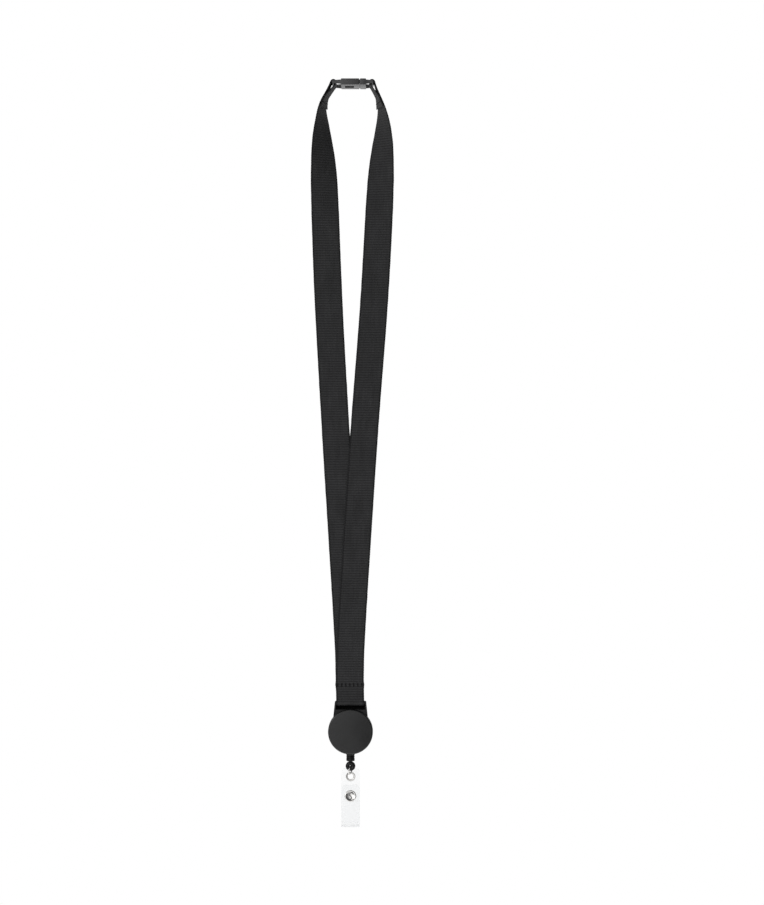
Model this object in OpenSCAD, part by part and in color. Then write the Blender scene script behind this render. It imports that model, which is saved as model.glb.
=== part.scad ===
// Lanyard badge holder: a 20 mm neck strap with a breakaway buckle, a retractable reel
// and a clear snap strap that holds the badge. It hangs straight down, as it is worn.
// Origin: centre of the buckle socket's underside, which rests on the back of the neck.
// +Z is up, -Y is the front, +X is the side of the buckle's plug.

/* [Neck strap] */
// Width of the woven strap
strap_w = 20; // [19:0.5:20.4]
// Thickness of the woven strap
strap_t = 0.9; // [0.7:0.1:1.0]
// Depth of the lower seam below the buckle
seam_drop = 427; // [427:1:430]
// Length of the folded tail at each end of the strap
tail_len = 15; // [13:0.5:16]

/* [Breakaway buckle] */
// Height of the buckle's shell
buckle_h = 4.4; // [4.2:0.1:5]
// Width of the buckle's shell along the strap's width
buckle_w = 24; // [24:0.5:26]
// Length of the socket's shell
socket_len = 12.7; // [12.4:0.1:13]
// Length of the plug's shell
plug_len = 4.4; // [4:0.1:4.6]
// Gap left between the two closed shells
buckle_gap = 0.7; // [0.5:0.1:0.8]
// Radius of the bars that the strap's ends are sewn round
bar_r = 1.1; // [0.9:0.1:1.2]

/* [Reel] */
// Diameter of the reel's case
reel_d = 32; // [31.6:0.2:32.6]
// Thickness of the reel's case
reel_t = 9; // [8.8:0.1:9.4]
// Height of the reel's centre below the buckle
reel_drop = 460.4; // [460:0.1:460.8]
// Radius of the bar that the strap runs round
yoke_bar_r = 0.9; // [0.7:0.05:0.9]
// Radius of the pull cord
cord_r = 0.4; // [0.3:0.05:0.45]

/* [Snap strap] */
// Width of the clear strap
vinyl_w = 13; // [11:0.5:14]
// Thickness of the clear strap
vinyl_t = 0.7; // [0.5:0.1:0.7]
// Lowest point of the clear strap's fold below the buckle
fold_drop = 528.4; // [526:0.2:530]
// Radius of the snap's cap
snap_r = 4.3; // [4:0.1:5]

/* [Hidden] */
$fn = 48;

// Small distances
eps = 0.02;
layer_gap = 0.4;
thread_r = 0.22;

// Buckle, seen from the front: bars run along Y at the height of the shell's middle
socket_left = -6.65;
socket_right = socket_left + socket_len;
plug_left = socket_right + buckle_gap;
plug_right = plug_left + plug_len;
bar_z = 2.1;
socket_bar_x = -12.05;
plug_bar_x = 15.4;
edge_r = 0.5;
frame_arm = (buckle_w - strap_w - 0.8) / 2;
arm_root_h = 3.2;
floor_t = 1.2;
channel_h = 2.0;
tongue_reach = 9.8;
tongue_w = 7.2;
guide_reach = 6.2;
guide_w = 3.2;
guide_y = 7;
slide_gap = 0.4;
window_x = -0.7;
window_len = 6.4;
window_w = 8.8;

// Strap: distance outwards at each height, turned from edge-on at the buckle to flat at the seam
strap_loop_r = bar_r + 0.3 + strap_t / 2;
left_lean = 23;
right_lean = 17;
merge_z = -7;
layer_pitch = strap_t + 0.12;
loop_steps = 12;
left_leg = [[-8, 18.4], [-26, 20.4], [-60, 19.1], [-150, 15.8], [-240, 10.9], [-330, 5.4],
            [-400, 1.3], [-seam_drop, 0.5]];
right_leg = [[-8, 20.4], [-26, 23.2], [-60, 21.9], [-150, 17.1], [-240, 10.3], [-330, 4.3],
             [-400, 0.1], [-seam_drop, -0.5]];
seam_x = -0.5;
fold_x = -0.2;
fold_in_z = -432;
twist_fade = 50;
twist_power = 1.47;
flat_from = 200;
flat_at = 300;
layer_y = (strap_t + layer_gap) / 2;
part_from = 150;
part_at = 235;
end_stitch_z = -11.5;
stitches = 7;
stitch_pitch = 2.8;
stitch_len = 2;
seam_stitch_len = 2.6;

// Yoke and reel
yoke_bar_z = -439.8;
strap_fold_r = yoke_bar_r + 0.2 + strap_t / 2;
pivot_disc_r = strap_w / 2 - 0.1;
pivot_gap = 0.35;
yoke_top = -438.75;
yoke_half_top = 11.2;
yoke_corner = 0.5;
yoke_half_low = 12.5;
yoke_low = -452;
yoke_front = 1.3;
yoke_back = reel_t / 2 - 0.3;
slot_half = 10.4;
slot_low = -444.6;
web_t = 1.5;
reel_r = reel_d / 2;
reel_half_t = reel_t / 2;
case_wall = 1.4;
cap_t = 1.6;
cap_edge_r = 1.2;
spigot_w = 0.7;
spigot_h = 0.45;
case_edge_r = 1;
nozzle_low = -477.6;
nozzle_r = 3.0;
nozzle_fillet = 1.4;
nozzle_root_z = -475.3;
cord_hole_r = 0.85;
post_r = 1.5;
post_seat = 0.8;
bore_gap = 0.08;
hub_r = 8.2;
hub_wall = 1;
flange_r = 13.6;
flange_t = 0.8;
drum_half = 2.5;
winding_r = 10.6;
cord_leave_r = winding_r + cord_r + 0.1;
spring_w = 3.4;
spring_t = 0.18;
spring_turns = 7;
spring_in = 1.7;
spring_out = 6.9;
spring_steps = 22;

// Cord end, swivel ring and link
stop_r = 3.0;
stop_top = nozzle_low - 0.15;
stop_low = -481.4;
stop_wall = 0.8;
stop_cavity_r = 1.9;
stem_r = 0.87;
stem_head_r = 1.5;
stem_gap = 0.08;
ring_z = -485;
ring_mid_r = 2.45;
ring_wire_r = 1.05;
link_mid_r = 3.1;
link_wire_r = 0.45;
link_tilt = 28;
link_turn = -22;
link_slack = 0.14;
ring_low_z = ring_z - ring_mid_r;
link_drop = link_mid_r - ring_wire_r - link_wire_r - link_slack;
link_y = link_drop * sin(link_tilt);
link_z = ring_low_z - link_drop * cos(link_tilt);

// Clear strap
vinyl_mid_y = 1.6;
vinyl_top = -487.0;
vinyl_corner_r = 2.5;
eyelet_z = -492.7;
eyelet_hole_r = 2.0;
eyelet_tube_t = 0.3;
eyelet_flange_r = 3.4;
eyelet_flange_t = 0.3;
fold_mid_r = 2.65;
fold_z = -fold_drop + fold_mid_r + vinyl_t / 2;
fold_y = vinyl_mid_y - fold_mid_r;
flap_lean = 9.2;
flap_len = 26.8;
snap_up = 18.8;
snap_z = fold_z + fold_mid_r * sin(flap_lean) + snap_up * cos(flap_lean);
snap_hole_r = 1.6;
stud_r = 1.2;
snap_base_r = 3.2;
snap_base_t = 0.35;
stud_reach = 1.25;
socket_t = 0.6;
snap_dome_r = 12;
snap_dome_h = 1.2;

// ---- Small helpers ----

// Rectangle with true round corners
module round_rect(w, h, r) {
    square([w - 2 * r, h], center = true);
    square([w, h - 2 * r], center = true);
    for (sx = [-1, 1], sy = [-1, 1])
        translate([sx * (w / 2 - r), sy * (h / 2 - r)]) circle(r);
}

// Extrudes an outline drawn in X and Z along Y, from y0 to y1
module along_y(y0, y1) {
    translate([0, y1, 0]) rotate([90, 0, 0]) linear_extrude(y1 - y0) children();
}

// Extrudes an outline drawn in Y and Z along X, centred
module along_x(w) {
    translate([-w / 2, 0, 0]) rotate([90, 0, 90]) linear_extrude(w) children();
}

// Local frame of the reel: +Z of the child points to the reel's front
module at_reel() {
    translate([0, 0, -reel_drop]) rotate([90, 0, 0]) children();
}

function smooth(a, b, v) = let (t = min(1, max(0, (v - a) / (b - a)))) t * t * (3 - 2 * t);

// Angle between the strap and the front plane, at depth d below the buckle
function twist(d) = d <= 0 ? 90 :
    90 * exp(-pow(d / twist_fade, twist_power)) * (1 - smooth(flat_from, flat_at, d));

// Slope of a leg at control point i
function slope(c, i, lean) =
    i == 0 ? -tan(lean)
    : i == len(c) - 1 ? (c[i][1] - c[i - 1][1]) / (c[i][0] - c[i - 1][0])
    : (c[i + 1][1] - c[i - 1][1]) / (c[i + 1][0] - c[i - 1][0]);

// Distance outwards of a leg on stretch i, at share t of that stretch
function hermite(c, i, t, lean) =
    let (h = c[i + 1][0] - c[i][0])
    (2 * t * t * t - 3 * t * t + 1) * c[i][1] + (t * t * t - 2 * t * t + t) * h * slope(c, i, lean)
    + (3 * t * t - 2 * t * t * t) * c[i + 1][1] + (t * t * t - t * t) * h * slope(c, i + 1, lean);

// Leg's centre line as [outwards, y, z], from the top down
function leg_points(c, side, lean) =
    [for (i = [0:len(c) - 2], k = [0:7])
        let (t = k / 8, z = c[i][0] + t * (c[i + 1][0] - c[i][0]))
        [hermite(c, i, t, lean), side * layer_y * smooth(part_from, part_at, -z), z]];

// Where the leg leaves the bar's loop, as [outwards, z]
function loop_out(bar_x, lean) = [bar_x + strap_loop_r * cos(lean), bar_z + strap_loop_r * sin(lean)];

// Distance outwards of a leg at height z near its top
function top_x(bar_x, c, lean, z) =
    let (out = loop_out(bar_x, lean))
    z > c[0][0] ? out[0] + (out[1] - z) * tan(lean)
                : hermite(c, 0, (z - c[0][0]) / (c[1][0] - c[0][0]), lean);

// Point of the tail, which lies on the leg's inner face
function tail_point(bar_x, c, lean, z) =
    let (a = twist(-z), now = lean * (1 - smooth(8, 26, -z)))
    [top_x(bar_x, c, lean, z) - layer_pitch * sin(a) / cos(now), -layer_pitch * cos(a), z];

// Tail, loop round the bar and leg down to the first control point, as [outwards, y, z]
function loop_points(bar_x, c, lean) =
    let (merge = tail_point(bar_x, c, lean, merge_z),
         dx = merge[0] - bar_x,
         dz = bar_z - merge_z,
         rise = atan2(dx, dz) + asin(strap_loop_r / norm([dx, dz])),
         sweep = 180 + rise - lean)
    concat(
        [for (z = [-tail_len:1:merge_z - 0.4]) tail_point(bar_x, c, lean, z)],
        [merge],
        [for (k = [0:loop_steps]) let (a = k * sweep / loop_steps - rise)
            [bar_x - strap_loop_r * cos(a), 0, bar_z + strap_loop_r * sin(a)]],
        [for (z = [0, -2.5, -5]) [top_x(bar_x, c, lean, z), 0, z]]);

// Strap of one thickness along points [outwards, y, z]; its width turns with depth
module strap_sweep(p) {
    n = len(p);
    rings = [for (i = [0:n - 1])
        let (t0 = p[min(i + 1, n - 1)] - p[max(i - 1, 0)],
             t = t0 / norm(t0),
             a = twist(-p[i][2]),
             w = [cos(a), -sin(a), 0],
             m0 = cross(t, w),
             m = m0 / norm(m0) * strap_t / 2,
             h = w * strap_w / 2)
        [p[i] + h + m, p[i] - h + m, p[i] - h - m, p[i] + h - m]];
    polyhedron(
        points = [for (r = rings) each r],
        faces = concat(
            [[0, 1, 2, 3]],
            [for (i = [0:n - 2], k = [0:3])
                [4 * i + k, 4 * (i + 1) + k, 4 * (i + 1) + (k + 1) % 4]],
            [for (i = [0:n - 2], k = [0:3])
                [4 * i + k, 4 * (i + 1) + (k + 1) % 4, 4 * i + (k + 1) % 4]],
            [[4 * n - 1, 4 * n - 2, 4 * n - 3, 4 * n - 4]]),
        convexity = 10);
}

// Row of stitches across the strap, each turned by turn in the strap's plane
module stitch_row(length, turn) {
    for (i = [0:stitches - 1])
        translate([(i - (stitches - 1) / 2) * stitch_pitch, 0, 0]) rotate([0, turn, 0])
            cylinder(h = length, r = thread_r, center = true, $fn = 16);
}

// Loop frame of the buckle: two arms and the bar, drawn from root_x out to bar_x
module loop_frame(root_x, bar_x) {
    translate([bar_x, 0, bar_z]) rotate([90, 0, 0]) cylinder(h = buckle_w, r = bar_r, center = true);
    for (s = [-1, 1])
        along_y(s > 0 ? buckle_w / 2 - frame_arm : -buckle_w / 2,
                s > 0 ? buckle_w / 2 : -buckle_w / 2 + frame_arm) {
            polygon([[root_x, bar_z - arm_root_h / 2], [bar_x, bar_z - bar_r],
                     [bar_x, bar_z + bar_r], [root_x, bar_z + arm_root_h / 2]]);
            translate([bar_x, bar_z]) circle(bar_r);
        }
}

// Shell of one half of the buckle, from x0 to x1
module buckle_shell(x0, x1) {
    along_y(-buckle_w / 2, buckle_w / 2)
        translate([(x0 + x1) / 2, buckle_h / 2]) round_rect(x1 - x0, buckle_h, edge_r);
}

// Box by its limits
module box(x0, x1, y0, y1, z0, z1) {
    translate([x0, y0, z0]) cube([x1 - x0, y1 - y0, z1 - z0]);
}

// ---- Neck strap and buckle ----

module buckle_socket() {
    color("#2b2b2d") difference() {
        union() {
            buckle_shell(socket_left, socket_right);
            loop_frame(socket_left + 1, socket_bar_x);
        }
        box(plug_left - tongue_reach - slide_gap, socket_right + 1,
            -tongue_w / 2 - slide_gap, tongue_w / 2 + slide_gap, floor_t, floor_t + channel_h);
        for (s = [-1, 1])
            box(plug_left - guide_reach - slide_gap, socket_right + 1,
                s * guide_y - guide_w / 2 - slide_gap, s * guide_y + guide_w / 2 + slide_gap,
                floor_t, floor_t + channel_h);
        box(window_x - window_len / 2, window_x + window_len / 2,
            -window_w / 2, window_w / 2, -1, floor_t + 0.1);
    }
}

module buckle_plug() {
    low = floor_t + 0.45;
    high = floor_t + channel_h - 0.2;
    color("#2b2b2d") union() {
        buckle_shell(plug_left, plug_right);
        loop_frame(plug_right - 1, plug_bar_x);
        box(plug_left - tongue_reach, plug_left + 1, -tongue_w / 2, tongue_w / 2, low, high);
        along_y(-tongue_w / 2, tongue_w / 2)
            polygon([[plug_left - tongue_reach, low + 0.1], [plug_left - tongue_reach, low],
                     [plug_left - tongue_reach + 1.6, floor_t + 0.15],
                     [plug_left - tongue_reach + 2.6, floor_t + 0.15],
                     [plug_left - tongue_reach + 3.2, low], [plug_left - tongue_reach + 3.2, low + 0.1]]);
        for (s = [-1, 1])
            box(plug_left - guide_reach, plug_left + 1,
                s * guide_y - guide_w / 2, s * guide_y + guide_w / 2, low, high);
    }
}

// Left leg, its top loop, and the fold round the reel's bar; the front layer ends at the pivot
module strap_left() {
    fold = [for (a = [0:-18:-180])
        [-fold_x, strap_fold_r * cos(a), yoke_bar_z + strap_fold_r * sin(a)]];
    in_x = -(seam_x + fold_x) / 2;
    color("#2d2d2f") mirror([1, 0, 0]) difference() {
        strap_sweep(concat(
            loop_points(-socket_bar_x, left_leg, left_lean),
            leg_points(left_leg, 1, left_lean),
            [[-seam_x, layer_y, -seam_drop], [in_x, layer_y + 0.2, fold_in_z]],
            fold,
            [[in_x, -layer_y - 0.2, fold_in_z], [-seam_x, -layer_y, -seam_drop - 1]]));
        translate([-seam_x, 0, -seam_drop]) rotate([90, 0, 0])
            cylinder(h = 6, r = pivot_disc_r + pivot_gap, $fn = 64);
    }
}

// Right leg and its top loop; a half disc below the seam lets it turn on the seam
module strap_right() {
    color("#2d2d2f") union() {
        strap_sweep(concat(
            loop_points(plug_bar_x, right_leg, right_lean),
            leg_points(right_leg, -1, right_lean),
            [[seam_x, -layer_y, -seam_drop]]));
        along_y(-layer_y - strap_t / 2, -layer_y + strap_t / 2)
            translate([seam_x, -seam_drop]) intersection() {
                circle(pivot_disc_r, $fn = 64);
                translate([-strap_w, -strap_w]) square([2 * strap_w, strap_w + 1]);
            }
    }
}

// Stitches through the doubled end of a leg
module end_stitching(bar_x, c, lean) {
    now = lean * (1 - smooth(8, 26, -end_stitch_z));
    off = strap_t / 2 + thread_r + 0.08;
    translate(tail_point(bar_x, c, lean, end_stitch_z)) rotate([0, 0, -twist(-end_stitch_z)])
        translate([0, -off / cos(now), 0]) stitch_row(stitch_len, 90);
}

module left_end_stitching() {
    color("#1c1c1e") mirror([1, 0, 0]) end_stitching(-socket_bar_x, left_leg, left_lean);
}

module right_end_stitching() {
    color("#1c1c1e") end_stitching(plug_bar_x, right_leg, right_lean);
}

// Lower thread of the seam, on the back of the left leg
module bobbin_thread() {
    color("#1c1c1e") translate([seam_x, layer_y + strap_t / 2 + thread_r + eps, -seam_drop])
        stitch_row(seam_stitch_len, 0);
}

// Upper thread of the seam, on the front of the right leg
module needle_thread() {
    color("#1c1c1e") translate([seam_x, -layer_y - strap_t / 2 - thread_r - eps, -seam_drop])
        stitch_row(seam_stitch_len, 0);
}

// ---- Reel ----

// Cup of the back case, turned about the reel's axis; z runs from the back to the joint line
module case_cup() {
    rotate_extrude($fn = 96) difference() {
        union() {
            translate([0, -reel_half_t]) square([reel_r - case_edge_r, reel_t - cap_t]);
            translate([0, -reel_half_t + case_edge_r])
                square([reel_r, reel_t - cap_t - case_edge_r]);
            intersection() {
                translate([reel_r - case_edge_r, -reel_half_t + case_edge_r]) circle(case_edge_r);
                square([reel_r * 2, reel_t * 2], center = true);
            }
        }
        translate([-1, -reel_half_t + case_wall]) square([reel_r - case_wall + 1, reel_t]);
    }
}

// Outline of the yoke in X and Z
module yoke_outline() {
    polygon([[-yoke_half_top + yoke_corner, yoke_top], [yoke_half_top - yoke_corner, yoke_top],
             [yoke_half_top, yoke_top - yoke_corner], [yoke_half_low, yoke_low],
             [-yoke_half_low, yoke_low], [-yoke_half_top, yoke_top - yoke_corner]]);
}

// Nozzle that guides the cord out of the case, with a flared root
module nozzle() {
    root_r = nozzle_r + nozzle_fillet;
    rotate_extrude($fn = 72) difference() {
        translate([0, nozzle_low]) square([root_r, nozzle_root_z - nozzle_low + 1.5]);
        translate([root_r, nozzle_root_z - nozzle_fillet]) circle(nozzle_fillet);
        translate([nozzle_r, nozzle_low - 1])
            square([root_r, nozzle_root_z - nozzle_fillet - nozzle_low + 1]);
    }
}

module reel_back_case() {
    color("#323234") difference() {
        union() {
            at_reel() case_cup();
            difference() {
                along_y(-yoke_front, yoke_back) yoke_outline();
                box(-slot_half, slot_half, -yoke_front - 1, yoke_back - web_t, slot_low, 0);
                at_reel() cylinder(h = reel_t * 2, r = reel_r - case_wall + 0.3, center = true, $fn = 96);
            }
            translate([0, 0, yoke_bar_z]) rotate([0, 90, 0])
                cylinder(h = 2 * slot_half + 1, r = yoke_bar_r, center = true);
            difference() {
                nozzle();
                at_reel() cylinder(h = reel_t * 2, r = reel_r - case_wall + 0.3, center = true, $fn = 96);
                at_reel() translate([0, 0, reel_half_t - cap_t])
                    cylinder(h = reel_t, r = reel_r + 0.05, $fn = 96);
            }
            at_reel() translate([0, 0, -reel_half_t + case_wall / 2])
                cylinder(h = case_wall / 2 + 0.3, r = post_r + 1.2);
        }
        at_reel() translate([0, 0, -reel_half_t + case_wall - post_seat])
            cylinder(h = reel_t, r = post_r + eps);
        translate([0, 0, nozzle_low - 1]) cylinder(h = 8, r = cord_hole_r);
    }
}

module reel_front_cap() {
    spigot_r = reel_r - case_wall - bore_gap;
    color("#363638") at_reel() difference() {
        rotate_extrude($fn = 96) {
            translate([0, reel_half_t - cap_t]) square([reel_r, cap_t - cap_edge_r]);
            translate([0, reel_half_t - cap_t]) square([reel_r - cap_edge_r, cap_t]);
            intersection() {
                translate([reel_r - cap_edge_r, reel_half_t - cap_edge_r]) circle(cap_edge_r);
                translate([0, reel_half_t - cap_t]) square([reel_r * 2, cap_t]);
            }
            translate([spigot_r - spigot_w, reel_half_t - cap_t - spigot_h])
                square([spigot_w, spigot_h + 0.1]);
        }
        translate([0, 0, -eps]) cylinder(h = reel_half_t - cap_t + 0.5, r = post_r + eps);
    }
}

module centre_post() {
    color("#b8b8ba") at_reel()
        translate([0, 0, -reel_half_t + case_wall - post_seat + 0.05])
            cylinder(h = reel_t - case_wall - cap_t + post_seat + 0.35, r = post_r);
}

// Flat spiral spring between the post and the drum's hub
module spiral_spring() {
    steps = spring_turns * spring_steps;
    line = [for (i = [0:steps])
        let (r = spring_in + (spring_out - spring_in) * i / steps, a = i * 360 / spring_steps)
        [r * cos(a), r * sin(a)]];
    back = [for (i = [steps:-1:0])
        let (r = spring_in + spring_t + (spring_out - spring_in) * i / steps, a = i * 360 / spring_steps)
        [r * cos(a), r * sin(a)]];
    color("#8d9096") at_reel() translate([0, 0, -spring_w / 2 - 0.5])
        linear_extrude(spring_w) polygon(concat(line, back));
}

module spool_drum() {
    color("#d9d9d6") at_reel() rotate_extrude($fn = 96) {
        translate([hub_r - hub_wall, -drum_half]) square([hub_wall, 2 * drum_half]);
        translate([post_r + bore_gap, drum_half - flange_t])
            square([flange_r - post_r - bore_gap, flange_t]);
        translate([hub_r - hub_wall, -drum_half]) square([flange_r - hub_r + hub_wall, flange_t]);
    }
}

module cord_winding() {
    color("#1b1b1c") at_reel() rotate_extrude($fn = 72)
        translate([hub_r + 0.05, -drum_half + flange_t + 0.1])
            square([winding_r - hub_r - 0.05, 2 * (drum_half - flange_t - 0.1)]);
}

// Centre line of the cord from the drum to the stop
module cord_line() {
    entry = -475.2;
    lean = acos(cord_leave_r / (-reel_drop - entry));
    leave = [cord_leave_r * sin(lean), 0, -reel_drop - cord_leave_r * cos(lean)];
    route = [leave, [0.55, 0, entry + 0.55], [0.12, 0, entry + 0.05], [0, 0, entry - 0.6],
             [0, 0, stop_top - stop_wall - 0.05]];
    color("#1b1b1c") tube(route, cord_r, 8);
}

// Round tube of radius r along points in the XZ plane
module tube(p, r, sides) {
    n = len(p);
    rings = [for (i = [0:n - 1])
        let (t0 = p[min(i + 1, n - 1)] - p[max(i - 1, 0)],
             t = t0 / norm(t0),
             u = [0, 1, 0],
             v = cross(t, u))
        [for (k = [0:sides - 1]) p[i] + r * (cos(k * 360 / sides) * u + sin(k * 360 / sides) * v)]];
    polyhedron(
        points = [for (q = rings) each q],
        faces = concat(
            [[for (k = [sides - 1:-1:0]) k]],
            [for (i = [0:n - 2], k = [0:sides - 1])
                [sides * i + k, sides * i + (k + 1) % sides,
                 sides * (i + 1) + (k + 1) % sides, sides * (i + 1) + k]],
            [[for (k = [0:sides - 1]) sides * (n - 1) + k]]));
}

// ---- Cord end, swivel ring and link ----

module cord_knot() {
    color("#1b1b1c") translate([0, 0, stop_top - stop_wall - 0.75]) sphere(0.68, $fn = 32);
}

module cord_stop() {
    h = stop_top - stop_low;
    color("#2a2a2c") difference() {
        translate([0, 0, stop_low]) rotate_extrude() {
            square([stop_r - 0.6, h]);
            translate([0, 0.6]) square([stop_r, h - 1.2]);
            for (z = [0.6, h - 0.6])
                intersection() {
                    translate([stop_r - 0.6, z]) circle(0.6);
                    square([stop_r, h]);
                }
        }
        translate([0, 0, stop_low + stop_wall]) cylinder(h = h - 2 * stop_wall, r = stop_cavity_r);
        translate([0, 0, stop_low - 1]) cylinder(h = stop_wall + 2, r = stem_r + stem_gap);
        translate([0, 0, stop_top - stop_wall - 1]) cylinder(h = stop_wall + 2, r = cord_r + 0.12);
    }
}

module end_ring() {
    head_z = stop_low + stop_wall + 0.1;
    color("#1f1f21") union() {
        translate([0, 0, ring_z]) rotate([90, 0, 0]) rotate_extrude()
            translate([ring_mid_r, 0]) circle(ring_wire_r);
        translate([0, 0, ring_z + ring_mid_r]) cylinder(h = head_z + 0.2 - ring_z - ring_mid_r, r = stem_r);
        translate([0, 0, head_z]) cylinder(h = 0.55, r = stem_head_r);
    }
}

module link_ring() {
    color("#c9c9cc") translate([0, link_y, link_z]) rotate([link_tilt, 0, 0])
        rotate([0, 90, link_turn]) rotate_extrude()
            translate([link_mid_r, 0]) circle(link_wire_r, $fn = 32);
}

// ---- Clear strap, eyelet and snap ----

// Outline of a clear strap's end, from z0 up to its rounded top z1
module vinyl_outline(z0, z1) {
    translate([-vinyl_w / 2, z0]) square([vinyl_w, z1 - z0 - vinyl_corner_r]);
    translate([-vinyl_w / 2 + vinyl_corner_r, z0]) square([vinyl_w - 2 * vinyl_corner_r, z1 - z0]);
    for (s = [-1, 1])
        translate([s * (vinyl_w / 2 - vinyl_corner_r), z1 - vinyl_corner_r]) circle(vinyl_corner_r);
}

// Cylinder along Y, by its centre height and its two faces
module disc_y(z, y0, y1, r) {
    translate([0, y1, z]) rotate([90, 0, 0]) cylinder(h = y1 - y0, r = r);
}

// Local frame of the flap: its Y is the flap's thickness and its Z runs up the flap
module at_flap() {
    translate([0, fold_y, fold_z]) rotate([-flap_lean, 0, 0]) translate([0, -fold_mid_r, 0]) children();
}

module vinyl_strap() {
    color("#e9edf0", 0.5) difference() {
        along_y(vinyl_mid_y - vinyl_t / 2, vinyl_mid_y + vinyl_t / 2) vinyl_outline(fold_z, vinyl_top);
        disc_y(eyelet_z, 0, 3, eyelet_hole_r + eyelet_tube_t + 0.03);
        disc_y(snap_z, 0, 3, stud_r + 0.03);
    }
}

// Half turn at the bottom that joins the strap to its flap
module vinyl_fold() {
    color("#e9edf0", 0.5) translate([0, fold_y, fold_z]) difference() {
        along_x(vinyl_w) difference() {
            circle(fold_mid_r + vinyl_t / 2);
            circle(fold_mid_r - vinyl_t / 2);
        }
        box(-vinyl_w, vinyl_w, 0, 2 * fold_mid_r, 0, 2 * fold_mid_r);
        rotate([-flap_lean, 0, 0]) box(-vinyl_w, vinyl_w, -2 * fold_mid_r, 2 * fold_mid_r, 0, 2 * fold_mid_r);
    }
}

module vinyl_flap() {
    color("#e9edf0", 0.5) at_flap() difference() {
        along_y(-vinyl_t / 2, vinyl_t / 2) vinyl_outline(0, flap_len);
        disc_y(snap_up, -1, 1, stud_r + 0.03);
    }
}

module eyelet() {
    half = vinyl_t / 2;
    color("#c9c9cc") translate([0, vinyl_mid_y, eyelet_z]) rotate([90, 0, 0]) rotate_extrude() {
        translate([eyelet_hole_r, -half - eyelet_flange_t])
            square([eyelet_tube_t, vinyl_t + 2 * eyelet_flange_t]);
        for (s = [-1, 1])
            translate([eyelet_hole_r, s * (half + eyelet_flange_t / 2) - eyelet_flange_t / 2])
                square([eyelet_flange_r - eyelet_hole_r, eyelet_flange_t]);
    }
}

// Stud half of the snap, with the nub that the socket clips on to
module snap_stud() {
    face = vinyl_mid_y - vinyl_t / 2;
    color("#c9c9cc") union() {
        disc_y(snap_z, face - snap_base_t, face, snap_base_r);
        disc_y(snap_z, face - stud_reach, face, stud_r);
    }
}

module snap_back() {
    face = vinyl_mid_y + vinyl_t / 2;
    color("#c9c9cc") union() {
        disc_y(snap_z, face, face + 0.6, snap_r - 0.4);
        disc_y(snap_z, face - vinyl_t + eps, face + 0.1, stud_r);
    }
}

module snap_cap() {
    color("#c9c9cc") at_flap() union() {
        translate([0, -vinyl_t / 2, snap_up]) rotate([90, 0, 0]) rotate_extrude($fn = 96)
            intersection() {
                translate([0, snap_dome_h - snap_dome_r]) circle(snap_dome_r, $fn = 180);
                square([snap_r, snap_dome_h]);
            }
        disc_y(snap_up, -vinyl_t / 2 - 0.1, vinyl_t / 2 - eps, stud_r);
    }
}

module snap_socket() {
    color("#b4b4b8") at_flap() difference() {
        disc_y(snap_up, vinyl_t / 2, vinyl_t / 2 + socket_t, snap_base_r);
        disc_y(snap_up, vinyl_t / 2 + 0.1, vinyl_t / 2 + socket_t + 1, snap_hole_r);
    }
}

// Spring wire ring inside the snap's socket
module snap_spring() {
    color("#8d9096") at_flap() translate([0, vinyl_t / 2 + 0.12 + 0.12, snap_up]) rotate([90, 0, 0])
        rotate_extrude() translate([snap_hole_r - 0.14, 0]) circle(0.1, $fn = 16);
}

buckle_socket();
strap_left();
left_end_stitching();
bobbin_thread();
buckle_plug();
strap_right();
right_end_stitching();
needle_thread();
reel_back_case();
reel_front_cap();
centre_post();
spiral_spring();
spool_drum();
cord_winding();
cord_line();
cord_knot();
cord_stop();
end_ring();
link_ring();
vinyl_strap();
vinyl_fold();
eyelet();
snap_stud();
snap_back();
vinyl_flap();
snap_cap();
snap_socket();
snap_spring();
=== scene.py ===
# Lanyard badge holder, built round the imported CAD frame.
# Shapes are made in millimetres in the row's frame and turned into metres when a piece is finished.
import math

import bmesh
import bpy
import numpy as np
from mathutils import Matrix, Vector, noise


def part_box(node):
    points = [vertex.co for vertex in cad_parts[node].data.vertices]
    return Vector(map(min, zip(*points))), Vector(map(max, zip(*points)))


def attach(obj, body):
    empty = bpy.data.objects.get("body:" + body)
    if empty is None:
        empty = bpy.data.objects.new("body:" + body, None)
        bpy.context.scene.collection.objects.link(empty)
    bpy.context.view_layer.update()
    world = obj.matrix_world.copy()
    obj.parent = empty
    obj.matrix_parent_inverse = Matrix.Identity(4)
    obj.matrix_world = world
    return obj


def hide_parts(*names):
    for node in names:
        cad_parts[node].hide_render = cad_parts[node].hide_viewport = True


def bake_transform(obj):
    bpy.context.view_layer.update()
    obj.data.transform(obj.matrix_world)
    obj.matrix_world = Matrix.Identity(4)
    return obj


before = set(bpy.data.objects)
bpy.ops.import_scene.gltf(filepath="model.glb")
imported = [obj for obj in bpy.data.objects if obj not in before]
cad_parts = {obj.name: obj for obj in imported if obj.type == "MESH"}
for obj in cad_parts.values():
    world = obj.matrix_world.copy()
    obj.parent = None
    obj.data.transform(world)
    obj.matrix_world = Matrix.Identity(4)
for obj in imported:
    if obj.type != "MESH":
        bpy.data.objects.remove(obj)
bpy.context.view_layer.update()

MM = 0.001
scene = bpy.context.scene


def box_mm(node):
    lo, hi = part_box(node)
    return lo / MM, hi / MM


# ---------------------------------------------------------------- camera, light and stage

SIGHT = Vector((22.5, -1790.0, -261.1)) * MM
LENS, SENSOR = 99.7, 36
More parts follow.
